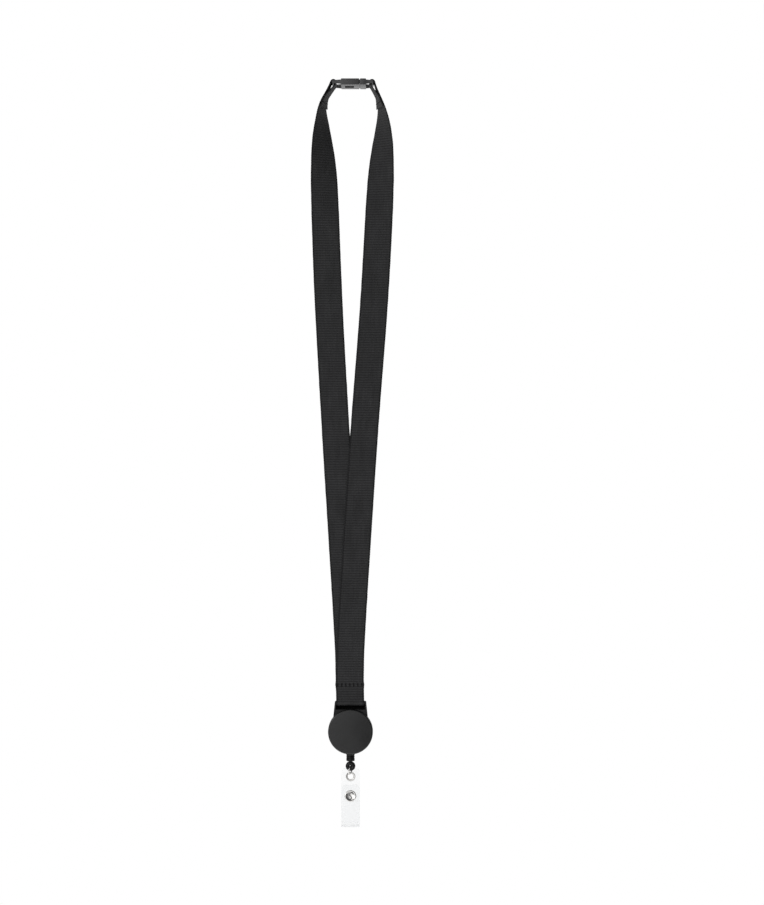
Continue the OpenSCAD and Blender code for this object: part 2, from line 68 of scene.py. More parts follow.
# Screen and wall fade in between these cosines of the angle to their middles.
SCREEN_SIDE = (-0.4, -0.87, 0.24)
SCREEN_FADE, WALL_FADE = (0.75, 0.97), (0.15, 0.45)
FRONT_LEVEL = 1.5
SIDE_LEVEL = 0.012
BACK_LEVEL = 0.9
KEY_PLACE, KEY_AIM = (-1.5, -1.7, 0.3), (0, 0, -0.35)
KEY_SIZE, KEY_WATTS = 1.0, 10


def make_camera():
    data = bpy.data.cameras.new("camera")
    data.lens = LENS
    data.sensor_width = SENSOR
    camera = bpy.data.objects.new("camera", data)
    scene.collection.objects.link(camera)
    camera.location = SIGHT
    camera.rotation_euler = (math.radians(90), 0, 0)
    scene.camera = camera


def make_light(name, place, aim, size, watts):
    data = bpy.data.lights.new(name, "AREA")
    data.shape = "DISK"
    data.size = size
    data.energy = watts
    light = bpy.data.objects.new(name, data)
    scene.collection.objects.link(light)
    light.location = place
    light.rotation_mode = "QUATERNION"
    light.rotation_quaternion = (Vector(aim) - Vector(place)).to_track_quat("-Z", "Y")


def make_world():
    """A white wall behind, a soft screen up to the left in front, and plain white to the camera."""
    world = bpy.data.worlds.new("studio")
    scene.world = world
    world.use_nodes = True
    tree = world.node_tree
    tree.nodes.clear()
    kinds = ("OutputWorld", "MixShader", "Background", "Background", "LightPath", "TexCoord", "SeparateXYZ",
             "VectorMath", "MapRange", "MapRange", "Math")
    out, mix, seen, light, path, place, split, toward, screen, wall, total = (
        tree.nodes.new("ShaderNode" + kind) for kind in kinds)
    seen.inputs["Color"].default_value = (1, 1, 1, 1)
    toward.operation = "DOT_PRODUCT"
    toward.inputs[1].default_value = Vector(SCREEN_SIDE).normalized()
    for node, source, fade, level in ((screen, toward.outputs["Value"], SCREEN_FADE, FRONT_LEVEL),
                                      (wall, split.outputs["Y"], WALL_FADE, BACK_LEVEL)):
        node.inputs["From Min"].default_value = fade[0]
        node.inputs["From Max"].default_value = fade[1]
        node.inputs["To Min"].default_value = SIDE_LEVEL
        node.inputs["To Max"].default_value = level
        tree.links.new(source, node.inputs["Value"])
    tree.links.new(place.outputs["Generated"], split.inputs[0])
    tree.links.new(place.outputs["Generated"], toward.inputs[0])
    tree.links.new(screen.outputs["Result"], total.inputs[0])
    tree.links.new(wall.outputs["Result"], total.inputs[1])
    tree.links.new(total.outputs[0], light.inputs["Strength"])
    tree.links.new(path.outputs["Is Camera Ray"], mix.inputs[0])
    tree.links.new(light.outputs[0], mix.inputs[1])
    tree.links.new(seen.outputs[0], mix.inputs[2])
    tree.links.new(mix.outputs[0], out.inputs["Surface"])


make_camera()
scene.view_settings.view_transform = "Standard"
make_world()
make_light("key", KEY_PLACE, KEY_AIM, KEY_SIZE, KEY_WATTS)


# ---------------------------------------------------------------- materials

RIB_PITCH, YARN_PITCH = 1.8, 0.5
RIB_SHARPNESS = 0.6
SELVAGE_FROM, SELVAGE_AT = 8.5, 9.1
BRAID_PITCH, BRAID_STRANDS = 0.9, 3.0
FLOOR_GLOW = 0.72


class Shade:
    """One procedural material and short ways to add nodes to it."""

    def __init__(self, name, colour, rough, **sockets):
        self.mat = bpy.data.materials.new(name)
        self.mat.use_nodes = True
        self.tree = self.mat.node_tree
        self.bsdf = self.tree.nodes["Principled BSDF"]
        self.out = self.tree.nodes["Material Output"]
        self.set(self.bsdf, "Base Color", (*colour, 1))
        self.set(self.bsdf, "Roughness", rough)
        for key, value in sockets.items():
            self.set(self.bsdf, key.replace("_", " "), value)

    def node(self, kind, **inputs):
        made = self.tree.nodes.new("ShaderNode" + kind)
        for key, value in inputs.items():
            self.set(made, key.replace("_", " "), value)
        return made

    def set(self, node, key, value):
        if isinstance(value, bpy.types.NodeSocket):
            self.tree.links.new(value, node.inputs[key])
        else:
            node.inputs[key].default_value = value

    def math(self, kind, a, b=None):
        made = self.tree.nodes.new("ShaderNodeMath")
        made.operation = kind
        for i, value in enumerate((a, b)):
            if value is not None:
                self.set(made, i, value)
        return made.outputs[0]

    def spot(self):
        """Object coordinates in metres."""
        return self.node("TexCoord").outputs["Object"]

    def stretch(self, vector, scale):
        made = self.node("Mapping", Vector=vector)
        made.inputs["Scale"].default_value = scale
        return made.outputs[0]

    def noise(self, scale, detail=2.0, vector=None):
        made = self.node("TexNoise", Scale=scale, Detail=detail, Vector=vector or self.spot())
        return made.outputs["Fac"]

    def span(self, value, low, high, from_low=0.0, from_high=1.0):
        made = self.node("MapRange", Value=value)
        made.inputs["From Min"].default_value = from_low
        made.inputs["From Max"].default_value = from_high
        made.inputs["To Min"].default_value = low
        made.inputs["To Max"].default_value = high
        return made.outputs["Result"]

    def blend(self, share, low, high):
        made = self.tree.nodes.new("ShaderNodeMix")
        made.data_type = "RGBA"
        self.set(made, 0, share)
        for key, colour in ((6, low), (7, high)):
            self.set(made, key, colour if isinstance(colour, bpy.types.NodeSocket) else (*colour, 1))
        return made.outputs[2]

    def bump(self, height, strength, depth_mm, under=None):
        made = self.node("Bump", Height=height, Strength=strength, Distance=depth_mm * MM)
        if under is not None:
            self.set(made, "Normal", under)
        self.set(self.bsdf, "Normal", made.outputs[0])
        return made.outputs[0]


def webbing_material():
    """Ribbed polyester: painted shade in the valleys between the ribs, fine yarns along the strap, a dark selvage
    and painted shade in the dents where the seam pinches it. Its attribute holds across, along and the seam's
    painted shade."""
    s = Shade("webbing", (0.022, 0.022, 0.024), 0.86, Sheen_Weight=0.04, Sheen_Roughness=0.5,
              Specular_IOR_Level=0.2)
    place = s.node("Attribute")
    place.attribute_name = "weave_and_shade"
    split = s.node("SeparateXYZ", Vector=place.outputs["Vector"])
    across, along = split.outputs["X"], split.outputs["Y"]
    rib_valley_shade = s.math("ABSOLUTE", s.math("SINE", s.math("MULTIPLY", along, math.pi / RIB_PITCH)))
    rib_valley_shade = s.math("POWER", rib_valley_shade, RIB_SHARPNESS)
    yarn = s.math("ABSOLUTE", s.math("SINE", s.math("MULTIPLY", across, math.pi / YARN_PITCH)))
    edge = s.span(s.math("ABSOLUTE", across), 0.0, 1.0, SELVAGE_FROM, SELVAGE_AT)
    on_strap = place.outputs["Vector"]
    streak = s.noise(1.0, 2.0, s.stretch(on_strap, (2.4, 0.05, 1)))
    patch = s.noise(1.0, 3.0, s.stretch(on_strap, (0.12, 0.05, 1)))
    fleck = s.noise(1.0, 1.0, s.stretch(on_strap, (2.2, 1.1, 1)))
    # The darkening in the rib valleys is painted shade; the yarn, streak, patch and fleck tones are the webbing's
    # own.
    tone = s.math("MULTIPLY", s.span(rib_valley_shade, 0.42, 1.1), s.span(yarn, 0.86, 1.03))
    tone = s.math("MULTIPLY", tone, s.span(streak, 0.84, 1.16, 0.3, 0.7))
    tone = s.math("MULTIPLY", tone, s.span(patch, 0.9, 1.1, 0.35, 0.65))
    tone = s.math("MULTIPLY", tone, s.span(fleck, 0.9, 1.12, 0.3, 0.7))
    tone = s.math("MULTIPLY", tone, s.span(edge, 1.0, 0.5))
    # Painted shade: the attribute's third value darkens the webbing in the dents round the seam's stitches.
    tone = s.math("MULTIPLY", tone, s.span(split.outputs["Z"], 1.0, 0.25, 0.1, 0.9))
    s.set(s.bsdf, "Base Color",
          s.blend(s.span(tone, 0, 1, 0, 1.6), (0.0, 0.0, 0.0), (0.057, 0.057, 0.059)))
    s.set(s.bsdf, "Roughness", s.span(fleck, 0.78, 0.92))
    height = s.math("ADD", s.math("MULTIPLY", yarn, 0.5), s.math("MULTIPLY", fleck, 0.5))
    s.bump(height, 0.5, 0.06)
    return s.mat


def thread_material():
    s = Shade("thread", (0.006, 0.006, 0.006), 0.7, Specular_IOR_Level=0.25)
    lint = s.noise(2600, 2)
    s.set(s.bsdf, "Base Color", s.blend(lint, (0.002, 0.002, 0.002), (0.009, 0.009, 0.009)))
    s.bump(lint, 0.5, 0.05)
    return s.mat


def moulded_material(name, dark, light, rough, grain_mm, depth_mm, specular):
    """Injection-moulded plastic: fine spark-eroded grain, faint flow patches and a roughness that varies."""
    s = Shade(name, dark, rough[1], Specular_IOR_Level=specular)
    grain = s.noise(1 / (grain_mm * MM), 2.0)
    flow = s.noise(90, 3.0)
    s.set(s.bsdf, "Base Color", s.blend(s.span(flow, 0, 1, 0.35, 0.65), dark, light))
    s.set(s.bsdf, "Roughness", s.span(flow, *rough, 0.3, 0.7))
    s.bump(grain, 0.35, depth_mm)
    return s.mat


def cord_material():
    """Braided nylon: crossed strands drawn by two slanted waves round the cord."""
    s = Shade("cord", (0.012, 0.012, 0.013), 0.6)
    split = s.node("SeparateXYZ", Vector=s.spot())
    around = s.math("ARCTAN2", split.outputs["Y"], split.outputs["X"])
    rise = s.math("MULTIPLY", split.outputs["Z"], 2 * math.pi / (BRAID_PITCH * MM))
    turn = s.math("MULTIPLY", around, BRAID_STRANDS)
    left = s.math("SINE", s.math("ADD", rise, turn))
    right = s.math("SINE", s.math("SUBTRACT", rise, turn))
    braid = s.span(s.math("MAXIMUM", left, right), 0, 1, -0.5, 1)
    s.set(s.bsdf, "Base Color", s.blend(braid, (0.004, 0.004, 0.005), (0.02, 0.02, 0.022)))
    s.bump(braid, 0.6, 0.06)
    return s.mat


def metal_material(name, dark, light, rough):
    """Plated or bare metal with fine handling scratches and patches of softer polish."""
    s = Shade(name, light, rough[1], Metallic=1.0)
    patch = s.noise(220, 3.0)
    hair = s.noise(1.0, 2.0, s.stretch(s.spot(), (900, 5200, 1400)))
    s.set(s.bsdf, "Base Color", s.blend(s.span(patch, 0, 1, 0.3, 0.7), dark, light))
    s.set(s.bsdf, "Roughness", s.span(patch, *rough, 0.3, 0.7))
    s.bump(hair, 0.25, 0.01)
    return s.mat


def vinyl_material():
    """Clear flexible PVC: a see-through film that turns milky where it is seen along its surface."""
    s = Shade("clear_vinyl", (0.92, 0.93, 0.94), 0.12, Specular_IOR_Level=0.5)
    cloud = s.noise(160, 3.0)
    ripple = s.noise(420, 1.0)
    s.bump(ripple, 0.25, 0.05)
    s.set(s.bsdf, "Roughness", s.span(cloud, 0.08, 0.22, 0.3, 0.7))
    clear = s.tree.nodes.new("ShaderNodeBsdfTransparent")
    clear.inputs["Color"].default_value = (0.984, 0.986, 0.987, 1)
    facing = s.tree.nodes.new("ShaderNodeLayerWeight")
    facing.inputs["Blend"].default_value = 0.35
    share = s.span(facing.outputs["Facing"], 0.03, 0.7, 0.15, 1.0)
    share = s.math("MULTIPLY", share, s.span(cloud, 0.8, 1.25, 0.3, 0.7))
    mix = s.tree.nodes.new("ShaderNodeMixShader")
    s.tree.links.new(share, mix.inputs[0])
    s.tree.links.new(clear.outputs[0], mix.inputs[1])
    s.tree.links.new(s.bsdf.outputs[0], mix.inputs[2])
    s.tree.links.new(mix.outputs[0], s.out.inputs["Surface"])
    return s.mat


def floor_material():
    s = Shade("floor", (0.86, 0.86, 0.86), 0.9)
    s.set(s.bsdf, "Emission Color", (1, 1, 1, 1))
    s.set(s.bsdf, "Emission Strength", FLOOR_GLOW)
    s.set(s.bsdf, "Base Color", s.blend(s.noise(3, 3), (0.84, 0.84, 0.84), (0.88, 0.88, 0.88)))
    return s.mat


WEBBING = webbing_material()
THREAD = thread_material()
BUCKLE = moulded_material("buckle_plastic", (0.04, 0.04, 0.041), (0.05, 0.05, 0.051),
                          rough=(0.24, 0.36), grain_mm=0.35, depth_mm=0.02, specular=0.55)
REEL = moulded_material("reel_plastic", (0.012, 0.012, 0.0125), (0.015, 0.015, 0.0155),
                        rough=(0.29, 0.36), grain_mm=0.3, depth_mm=0.02, specular=0.5)
REEL_CASE = moulded_material("reel_case_plastic", (0.008, 0.008, 0.0085), (0.011, 0.011, 0.0115),
                             rough=(0.42, 0.52), grain_mm=0.3, depth_mm=0.03, specular=0.3)
# Near-black matt plastic that paints the shade inside the reel's slot.
SLOT_PAINTED_SHADE = moulded_material("reel_slot_painted_shade", (0.0015, 0.0015, 0.0015), (0.002, 0.002, 0.002),
                             rough=(0.8, 0.9), grain_mm=0.3, depth_mm=0.03, specular=0.1)
FITTING = moulded_material("fitting_plastic", (0.006, 0.006, 0.0065), (0.009, 0.009, 0.0095),
                           rough=(0.3, 0.42), grain_mm=0.3, depth_mm=0.02, specular=0.25)
DRUM = moulded_material("drum_plastic", (0.74, 0.74, 0.72), (0.8, 0.8, 0.78),
                        rough=(0.3, 0.42), grain_mm=0.4, depth_mm=0.02, specular=0.5)
CORD = cord_material()
NICKEL = metal_material("nickel", (0.78, 0.77, 0.75), (0.9, 0.89, 0.87), rough=(0.16, 0.3))
STEEL = metal_material("steel", (0.42, 0.42, 0.43), (0.6, 0.6, 0.61), rough=(0.22, 0.36))
SPRING = metal_material("spring_steel", (0.1, 0.1, 0.105), (0.2, 0.2, 0.21), rough=(0.2, 0.36))
VINYL = vinyl_material()


# ---------------------------------------------------------------- shape tools

def new_shape(name, verts, faces):
    mesh = bpy.data.meshes.new(name)
    mesh.from_pydata([tuple(v) for v in verts], [], faces)
    bm = bmesh.new()
    bm.from_mesh(mesh)
    bmesh.ops.recalc_face_normals(bm, faces=bm.faces)
    bm.to_mesh(mesh)
    bm.free()
    shape = bpy.data.objects.new(name, mesh)
    scene.collection.objects.link(shape)
    return shape


def placed(shape, matrix):
    shape.data.transform(matrix)
    return shape


def applied(shape):
    """Turns the shape's modifiers into its mesh."""
    depsgraph = bpy.context.evaluated_depsgraph_get()
    mesh = bpy.data.meshes.new_from_object(shape.evaluated_get(depsgraph))
    shape.modifiers.clear()
    shape.data = mesh
    return shape


def combined(shape, others, operation):
    for other in others:
        mod = shape.modifiers.new("solid", "BOOLEAN")
        mod.operation = operation
        mod.solver = "EXACT"
        mod.object = other
    applied(shape)
    for other in others:
        bpy.data.objects.remove(other)
    return shape


def joined(shape, *others):
    return combined(shape, others, "UNION")


def carved(shape, *others):
    return combined(shape, others, "DIFFERENCE")


def eased(shape, width, rounds=2, angle=40):
    """Rounds the shape's sharp edges."""
    mod = shape.modifiers.new("ease", "BEVEL")
    mod.width = width
    mod.segments = rounds
    mod.limit_method = "ANGLE"
    mod.angle_limit = math.radians(angle)
    mod.use_clamp_overlap = True
    return applied(shape)


def block(x0, x1, y0, y1, z0, z1):
    corners = [(x, y, z) for x in (x0, x1) for y in (y0, y1) for z in (z0, z1)]
    sides = [(0, 1, 3, 2), (4, 6, 7, 5), (0, 4, 5, 1), (2, 3, 7, 6), (0, 2, 6, 4), (1, 5, 7, 3)]
    return new_shape("block", corners, sides)


def prism_y(outline, y0, y1):
    """Solid between two copies of an outline of [x, z] points."""
    n = len(outline)
    verts = [(x, y, z) for y in (y0, y1) for x, z in outline]
    faces = [tuple(range(n)), tuple(range(2 * n - 1, n - 1, -1))]
    faces += [(i, (i + 1) % n, n + (i + 1) % n, n + i) for i in range(n)]
    return new_shape("prism", verts, faces)


def arc(cx, cy, r, start, end, steps=6):
    """Points on an arc, by its angles in degrees."""
    angles = [math.radians(start + (end - start) * k / steps) for k in range(steps + 1)]
    return [(cx + r * math.cos(a), cy + r * math.sin(a)) for a in angles]


def lathe(profile, segments=96, ring=False):
    """Solid turned about Z from [radius, height] points. A ring's profile closes on itself."""
    verts, rows, faces = [], [], []
    for r, h in profile:
        count = 1 if r < 1e-6 else segments
        rows.append([len(verts) + i for i in range(count)])
        verts += [(r * math.cos(2 * math.pi * i / segments), r * math.sin(2 * math.pi * i / segments), h)
                  for i in range(count)]
    pairs = list(zip(rows, rows[1:])) + ([(rows[-1], rows[0])] if ring else [])
    for a, b in pairs:
        for i in range(segments):
            j = (i + 1) % segments
            if len(a) == 1:
                faces.append((a[0], b[i], b[j]))
            elif len(b) == 1:
                faces.append((a[i], b[0], a[j]))
            else:
                faces.append((a[i], b[i], b[j], a[j]))
    return new_shape("lathe", verts, faces)


def facing_front(y, z):
    """Places a turned solid so that its height runs towards the front."""
    return Matrix.Translation((0, y, z)) @ Matrix.Rotation(math.radians(90), 4, "X")


TURNED_BACK = Matrix.Rotation(math.radians(180), 4, "X")
PLY_WAIST = 0.22


def sweep(points, radius, sides=12, closed=False, ply=0.0):
    """Round tube along points. With ply it is two yarns twisted together, a turn every ply mm."""
    points = [Vector(p) for p in points]
    n = len(points)
    verts, faces = [], []
    side = None
    gone = 0.0
    for i, p in enumerate(points):
        before = points[i - 1] if i or closed else points[0]
        after = points[(i + 1) % n] if closed else points[min(i + 1, n - 1)]
        along = (after - before).normalized()
        if side is None:
            side = along.orthogonal().normalized()
        side = (side - along * side.dot(along)).normalized()
        up = along.cross(side)
        gone += (p - points[i - 1]).length if i else 0.0
        for k in range(sides):
            a = 2 * math.pi * k / sides
            waist = 1 - PLY_WAIST * (1 - abs(math.cos(a - math.pi * gone / ply))) if ply else 1.0
            r = radius[i] if isinstance(radius, list) else radius
            verts.append(p + (side * math.cos(a) + up * math.sin(a)) * r * waist)
    for i in range(n if closed else n - 1):
        j = (i + 1) % n
        for k in range(sides):
            m = (k + 1) % sides
            faces.append((i * sides + k, i * sides + m, j * sides + m, j * sides + k))
    if not closed:
        faces += [tuple(range(sides)), tuple((n - 1) * sides + k for k in range(sides))]
    return new_shape("sweep", verts, faces)


def merged(shapes):
    """One mesh from several separate solids."""
    bm = bmesh.new()
    for shape in shapes:
        bm.from_mesh(shape.data)
    mesh = bpy.data.meshes.new("merged")
    bm.to_mesh(mesh)
    bm.free()
    for shape in shapes[1:]:
        bpy.data.objects.remove(shape)
    shapes[0].data = mesh
    return shapes[0]


def finished(shape, name, material, nodes=(), body=None, sharp=38):
    """Names a shape, turns it into metres, gives it its material and smooth shading, hides the CAD nodes it
    replaces and parents it to its body.
    """
    shape.name = name
    shape.data.name = name
    shape.data.transform(Matrix.Scale(MM, 4))
    shape.data.materials.clear()
    shape.data.materials.append(material)
    shape.data.shade_smooth()
    shape.data.set_sharp_from_angle(angle=math.radians(sharp))
    if nodes:
        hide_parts(*nodes)
    if body:
        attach(shape, body)
    return shape


# ---------------------------------------------------------------- neck strap

STRAP_W, STRAP_T = 20.0, 0.9
# The buckle's two bars, and the strap's centre line round them and round the reel's bar.
BAR_R, BAR_Z = 1.1, 2.1
SOCKET_BAR_X, PLUG_BAR_X = -12.05, 15.4
LOOP_R = BAR_R + 0.3 + STRAP_T / 2
YOKE_BAR_R = 0.9
FOLD_R = YOKE_BAR_R + 0.2 + STRAP_T / 2
# Depths in mm below the buckle: the twist's fade, where it is gone, where the two legs move to front
# and back of each other, and where the loop's lean eases out. TWIST_POWER is how sharply the twist fades.
TWIST_FADE, TWIST_POWER = 50, 1.47
FLAT_FROM, FLAT_AT = 200, 300
LAYERS_FROM, LAYERS_AT = 150, 235
LEAN_FROM, LEAN_GONE = 8, 26
LAYER_Y = 0.65
LAYER_PITCH = STRAP_T + 0.12
TAIL_LEN = 15.0
MERGE_Z = -7.0
LOOP_STEPS, LEG_STEP = 24, 2.5
SEAM_X, FOLD_X = -0.5, -0.2
MIDDLE_X = (SEAM_X + FOLD_X) / 2
SEAM_Z, FOLD_IN_Z, YOKE_BAR_Z = -427.0, -432.0, -439.8
JOIN_Z = -437.1
END_STITCH_Z = -11.5
STITCHES, STITCH_PITCH, THREAD_R = 7, 2.8, 0.22
# Knots [height, distance outwards] of each leg's centre line.
LEFT_LEG = [(-8, 18.4), (-26, 20.4), (-60, 19.1), (-150, 15.8), (-240, 10.9), (-330, 5.4), (-400, 1.3),
            (SEAM_Z, 0.5)]
RIGHT_LEG = [(-8, 20.4), (-26, 23.2), (-60, 21.9), (-150, 17.1), (-240, 10.3), (-330, 4.3), (-400, 0.1),
             (SEAM_Z, -0.5)]
LEFT_LEAN, RIGHT_LEAN = math.radians(23), math.radians(17)


def ease_in(a, b, v):
    t = min(1.0, max(0.0, (v - a) / (b - a)))
    return t * t * (3 - 2 * t)


def twist(z):
    """Angle between the strap and the front plane at height z."""
    if z >= 0:
        return math.pi / 2
    fade = math.exp(-(-z / TWIST_FADE) ** TWIST_POWER)
    return math.pi / 2 * fade * (1 - ease_in(FLAT_FROM, FLAT_AT, -z))


def slope(leg, i, lean):
    """How fast a leg runs outwards at its knot i. At the first it continues the loop's lean."""
    if i == 0:
        return -math.tan(lean)
    a, b = leg[i - 1], leg[min(i + 1, len(leg) - 1)]
    return (b[1] - a[1]) / (b[0] - a[0])


def leg_out(leg, lean, z):
    """Distance outwards of a leg at height z."""
    i = max(k for k in range(len(leg) - 1) if z <= leg[k][0] or k == 0)
    h = leg[i + 1][0] - leg[i][0]
    t = (z - leg[i][0]) / h
    return ((2 * t**3 - 3 * t**2 + 1) * leg[i][1] + (t**3 - 2 * t**2 + t) * h * slope(leg, i, lean)
            + (3 * t**2 - 2 * t**3) * leg[i + 1][1] + (t**3 - t**2) * h * slope(leg, i + 1, lean))


def top_out(bar, leg, lean, z):
    """Distance outwards at height z, on the leg or on its straight run up to the loop."""
    if z <= leg[0][0]:
        return leg_out(leg, lean, z)
    return bar + LOOP_R * math.cos(lean) + (BAR_Z + LOOP_R * math.sin(lean) - z) * math.tan(lean)


def tail_point(bar, leg, lean, z):
    """Point of the folded tail, which lies on the leg's inner face."""
    a = twist(z)
    now = lean * (1 - ease_in(LEAN_FROM, LEAN_GONE, -z))
    inwards = LAYER_PITCH * math.sin(a) / math.cos(now)
    return (top_out(bar, leg, lean, z) - inwards, -LAYER_PITCH * math.cos(a), z)


def leg_route(bar, leg, lean, side):
    """Centre line [outwards, y, z]: the tail, the loop round the buckle's bar, the leg down to the seam."""
    merge = tail_point(bar, leg, lean, MERGE_Z)
    dx, dz = merge[0] - bar, BAR_Z - merge[2]
    rise = math.atan2(dx, dz) + math.asin(LOOP_R / math.hypot(dx, dz))
    sweep_angle = math.pi + rise - lean
    route = [tail_point(bar, leg, lean, -TAIL_LEN + k) for k in range(int(TAIL_LEN + MERGE_Z))] + [merge]
    for k in range(LOOP_STEPS + 1):
        a = k * sweep_angle / LOOP_STEPS - rise
        route.append((bar - LOOP_R * math.cos(a), 0.0, BAR_Z + LOOP_R * math.sin(a)))
    z = 0.0
    while z > SEAM_Z:
        route.append((top_out(bar, leg, lean, z), side * LAYER_Y * ease_in(LAYERS_FROM, LAYERS_AT, -z), z))
        z -= LEG_STEP
    route.append((leg[-1][1], side * LAYER_Y, SEAM_Z))
    return route


def evenly(route, step, blur):
    """The route at even steps along its length, with its small corners eased."""
    p = np.array(route, float)
    gone = np.concatenate([[0], np.cumsum(np.linalg.norm(np.diff(p, axis=0), axis=1))])
    fine = np.linspace(0, gone[-1], int(gone[-1] / step) + 1)
    p = np.stack([np.interp(fine, gone, p[:, k]) for k in range(3)], axis=1)
    width = int(3 * blur / step)
    kernel = np.exp(-0.5 * (np.arange(-width, width + 1) * step / blur) ** 2)
    kernel /= kernel.sum()
    wide = np.concatenate([2 * p[0] - p[width:0:-1], p, 2 * p[-1] - p[-2:-width - 2:-1]])
    return np.stack([np.convolve(wide[:, k], kernel, "valid") for k in range(3)], axis=1)


# Columns of vertices over one face, in mm from the strap's middle.
FACE_COLUMNS = [-9.85, -9.5] + [round(-9.1 + 0.7 * k, 2) for k in range(27)] + [9.5, 9.85]
ROUTE_STEP, ROUTE_BLUR = 0.15, 0.4
LOOK_AHEAD = 0.3
RIB_PARTS, TIGHT_RIB_PARTS = 4, 8
RIB_DEPTH, SELVAGE_RIB, EDGE_RIB_DEPTH = 0.1, 0.45, 0.13
EDGE_WANDER, SEAM_SPREAD = 0.12, 0.35
SEAM_DENT, END_DENT = 0.27, 0.1
LEAST_HALF_T = 0.05


def half_thickness(u):
    """Half the strap's thickness at u mm from its middle: full, a step at the selvage, a round edge."""
    return float(np.interp(abs(u), [0, 8.4, 9.1, 9.5, 9.85, 10], [0.45, 0.45, 0.4, 0.41, 0.27, 0.0]))


def ribbon(name, route, mirrored, tight):
    """Ribbed strap along a route. tight(z) is true where it bends round a bar."""
    p = evenly(route, ROUTE_STEP, ROUTE_BLUR)
    seg = np.concatenate([[0], np.cumsum(np.linalg.norm(np.diff(p, axis=0), axis=1))])
    length = seg[-1]
    ribs = round(length / RIB_PITCH)
    pitch = length / ribs
    stops = []
    for r in range(ribs):
        z = float(np.interp(r * pitch, seg, p[:, 2]))
        parts = TIGHT_RIB_PARTS if tight(z) else RIB_PARTS
        stops += [(r + k / parts) * pitch for k in range(parts)]
    stops.append(length)
    stops = np.array(stops)
    centre, ahead, behind = (
        np.stack([np.interp(at, seg, p[:, k]) for k in range(3)], axis=1)
        for at in (stops, np.minimum(stops + LOOK_AHEAD, length), np.maximum(stops - LOOK_AHEAD, 0)))
    along = ahead - behind
    along /= np.linalg.norm(along, axis=1)[:, None]
    angle = np.array([twist(z) for z in centre[:, 2]])
    across = np.stack([np.cos(angle), -np.sin(angle), np.zeros(len(angle))], axis=1)
    normal = np.cross(along, across)
    normal /= np.linalg.norm(normal, axis=1)[:, None]

    # Each is 1 at the middle of its feature and fades to 0 away from it.
    ridge = np.abs(np.sin(np.pi * stops / pitch)) ** RIB_SHARPNESS
    near_seam = np.exp(-((centre[:, 2] - SEAM_Z) / 1.9) ** 2)
    in_seam = np.exp(-((centre[:, 2] - SEAM_Z) / 1.55) ** 4)
    in_end = np.exp(-((centre[:, 2] - END_STITCH_Z) / 0.55) ** 2)
    wander = np.array([noise.noise(Vector((s / 6.5, 3.7 if mirrored else 9.1, 0))) for s in stops])
    half = STRAP_W / 2 - EDGE_RIB_DEPTH * (1 - ridge) + EDGE_WANDER * wander + SEAM_SPREAD * near_seam
    outer_y = 1.0 if mirrored else -1.0

    columns = [-10.0] + FACE_COLUMNS + [10.0] + FACE_COLUMNS[::-1]
    faces_up = [0] + [1] * len(FACE_COLUMNS) + [0] + [-1] * len(FACE_COLUMNS)
    n = len(columns)
    verts = np.zeros((len(stops), n, 3))
    weave_and_shade = np.zeros((len(stops), n, 3))
    for j, (u, up) in enumerate(zip(columns, faces_up)):
        inner = 1.0 if abs(u) < 9.0 else SELVAGE_RIB
        thick = half_thickness(u) - RIB_DEPTH * (1 - ridge) * inner * (1 if up else 0)
        stitch_no = round(u / STITCH_PITCH)
        pinch_shade = np.zeros(len(stops))
        if abs(stitch_no) <= STITCHES // 2:
            off = u - stitch_no * STITCH_PITCH
            outside = np.sign(up * normal[:, 1]) == np.sign(outer_y)
            thick = thick - SEAM_DENT * math.exp(-(off / 0.55) ** 2) * in_seam * outside
            # This mask darkens the dent round each seam stitch in the material: painted shade.
            pinch_shade = math.exp(-(off / 0.62) ** 2) * in_seam
        thick = thick - END_DENT * in_end * (1 if up else 0)
        offset = up * np.maximum(thick, LEAST_HALF_T)
        verts[:, j] = centre + across * (u / 10 * half)[:, None] + normal * offset[:, None]
        weave_and_shade[:, j] = np.stack([np.full(len(stops), u), stops * RIB_PITCH / pitch, pinch_shade], axis=1)
    if mirrored:
        verts[:, :, 0] *= -1
    faces = []
    for i in range(len(stops) - 1):
        for j in range(n):
            k = (j + 1) % n
            faces.append((i * n + j, i * n + k, (i + 1) * n + k, (i + 1) * n + j))
    faces += [tuple(range(n)), tuple((len(stops) - 1) * n + j for j in range(n))]
    shape = new_shape(name, verts.reshape(-1, 3), faces)
    shape.data.attributes.new("weave_and_shade", "FLOAT_VECTOR", "POINT")
    shape.data.attributes["weave_and_shade"].data.foreach_set("vector", weave_and_shade.reshape(-1).astype(np.float32))
    return shape


def end_of_fold(side):
    """Where the front layer of the strap passes from the fold's piece to the leg's piece."""
    share = (JOIN_Z - YOKE_BAR_Z) / (FOLD_IN_Z - YOKE_BAR_Z)
    return (side * (FOLD_X + (MIDDLE_X - FOLD_X) * share), -FOLD_R + (FOLD_R - LAYER_Y - 0.2) * share, JOIN_Z)


def near_bars(z):
    """True where the strap bends round the buckle's bar or the reel's."""
    return z > -6 or z < -436.5


left_route = leg_route(-SOCKET_BAR_X, LEFT_LEG, LEFT_LEAN, 1) + [(-MIDDLE_X, LAYER_Y + 0.2, FOLD_IN_Z)]
left_route += [(-FOLD_X, FOLD_R * math.cos(math.radians(a)), YOKE_BAR_Z - FOLD_R * math.sin(math.radians(a)))
               for a in range(0, 181, 9)]
left_route.append(end_of_fold(-1))
right_route = leg_route(PLUG_BAR_X, RIGHT_LEG, RIGHT_LEAN, -1)
right_route += [(MIDDLE_X, -LAYER_Y - 0.2, FOLD_IN_Z), end_of_fold(1)]

